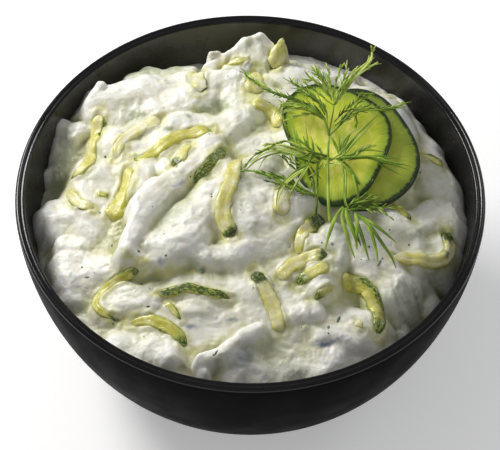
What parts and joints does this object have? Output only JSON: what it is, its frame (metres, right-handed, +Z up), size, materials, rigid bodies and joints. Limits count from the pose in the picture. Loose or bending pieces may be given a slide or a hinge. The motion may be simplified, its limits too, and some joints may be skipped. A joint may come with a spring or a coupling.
{
  "type": "tzatziki dip in a bowl",
  "caption": "Deep round black stoneware bowl filled with heaped white tzatziki, grated cucumber shreds, cucumber slices and a sprig of dill on top.",
  "frame": {"origin": "middle of the bowl's flat base, on the surface it stands on", "axes": "+Z up, -Y towards the side where the dill's stem ends, +X towards the slices"},
  "size_m": [0.15, 0.15, 0.0913],
  "materials": {
    "stoneware": "satin black glaze with fine speckle",
    "yoghurt": "thick moist cream with flecks of herb",
    "cucumber_shred": "wet pale green shred, dark green skin at some edges",
    "cucumber_slice": "wet translucent flesh, seeds in the middle, dark green skin",
    "dill_green": "matte fresh leaf"
  },
  "bodies": {
    "root": {"bowl": "stoneware", "dip": "yoghurt", "shred_01": "cucumber_shred", "shred_02": "cucumber_shred", "shred_03": "cucumber_shred", "shred_04": "cucumber_shred", "shred_05": "cucumber_shred", "shred_06": "cucumber_shred", "shred_07": "cucumber_shred", "shred_08": "cucumber_shred", "shred_09": "cucumber_shred", "shred_10": "cucumber_shred", "shred_11": "cucumber_shred", "shred_12": "cucumber_shred", "shred_13": "cucumber_shred", "shred_14": "cucumber_shred", "shred_15": "cucumber_shred", "shred_16": "cucumber_shred", "shred_17": "cucumber_shred", "shred_18": "cucumber_shred", "shred_19": "cucumber_shred", "shred_20": "cucumber_shred", "shred_21": "cucumber_shred", "shred_22": "cucumber_shred", "shred_23": "cucumber_shred", "shred_24": "cucumber_shred", "shred_25": "cucumber_shred", "shred_26": "cucumber_shred", "shred_27": "cucumber_shred", "shred_28": "cucumber_shred", "shred_29": "cucumber_shred", "shred_30": "cucumber_shred", "slice_front": "cucumber_slice", "slice_back": "cucumber_slice", "dill": "dill_green"}
  },
  "joints": []
}
